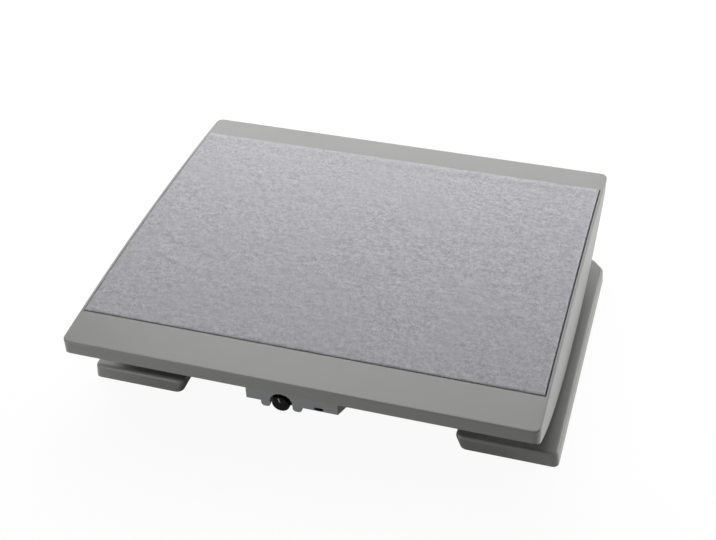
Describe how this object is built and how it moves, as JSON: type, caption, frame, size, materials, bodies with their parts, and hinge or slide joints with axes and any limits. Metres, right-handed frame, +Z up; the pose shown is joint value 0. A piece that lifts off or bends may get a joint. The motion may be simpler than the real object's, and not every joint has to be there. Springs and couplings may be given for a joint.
{
  "type": "heated footrest",
  "caption": "Heated floor footrest: a carpeted platform with curved cheeks that rocks in cradles on low feet, with a heat knob and a slide switch under its front lip.",
  "frame": {"origin": "on the floor, under the middle of the platform", "axes": "+X to the right along the width, +Y to the rear, +Z up; the user's heels and the controls are at -Y"},
  "size_m": [0.474, 0.4, 0.114],
  "materials": {
    "grey_plastic": "fine moulded texture, warm grey",
    "housing_plastic": "fine moulded texture, cool grey",
    "dark_plastic": "matte, near black",
    "black_plastic": "satin black",
    "pointer_grey": "matte pale grey inlay",
    "glide_plastic": "smooth acetal",
    "bar_metal": "dark grey powder coat",
    "zinc_steel": "zinc plated",
    "black_rubber": "matte",
    "lead_sheath": "satin sheath",
    "carpet": "short cut pile, bluish grey",
    "aluminium_sheet": "mill finish",
    "element_foil": "etched foil",
    "insulation_felt": "needle felt",
    "board_laminate": "solder mask"
  },
  "bodies": {
    "base": {"left_foot": "grey_plastic", "right_foot": "grey_plastic", "left_cradle": "dark_plastic", "right_cradle": "dark_plastic", "glide_strips": "glide_plastic", "front_cross_bar": "bar_metal", "rear_cross_bar": "bar_metal", "cross_bar_screws": "zinc_steel", "cradle_screws": "zinc_steel", "floor_pads": "black_rubber", "guide_bolts": "zinc_steel", "guide_bushes": "glide_plastic", "guide_nuts": "zinc_steel"},
    "platform": {"top_deck": "grey_plastic", "left_cheek": "grey_plastic", "right_cheek": "grey_plastic", "carpet_mat": "carpet", "heat_spreader": "aluminium_sheet", "heating_element": "element_foil", "insulation_sheet": "insulation_felt", "thermal_cutoff": "zinc_steel", "heater_leads": "lead_sheath", "lead_clips": "dark_plastic", "left_rail": "dark_plastic", "right_rail": "dark_plastic", "deck_screws": "zinc_steel", "control_housing": "housing_plastic", "housing_screws": "zinc_steel", "rotary_control": "zinc_steel", "control_nut": "zinc_steel", "slide_switch": "dark_plastic", "control_board": "board_laminate", "terminal_block": "dark_plastic", "board_screws": "zinc_steel", "cord_gland": "dark_plastic", "gland_nut": "dark_plastic"},
    "knob": {"control_knob": "black_plastic", "knob_pointer": "pointer_grey", "control_shaft": "zinc_steel"},
    "button": {"switch_button": "black_plastic"}
  },
  "joints": [
    {"name": "platform_tilt", "type": "hinge", "parent": "base", "child": "platform", "pos_m": [0, 0, 0.421], "axis": [1, 0, 0], "range_deg": [-15, 15]},
    {"name": "heat_turn", "type": "hinge", "parent": "platform", "child": "knob", "pos_m": [-0.0122, -0.19, 0.0746], "axis": [0, 1, 0], "range_deg": [-135, 135]},
    {"name": "switch_slide", "type": "slide", "parent": "platform", "child": "button", "axis": [1, 0, 0], "range_m": [-0.00175, 0.00175]}
  ]
}
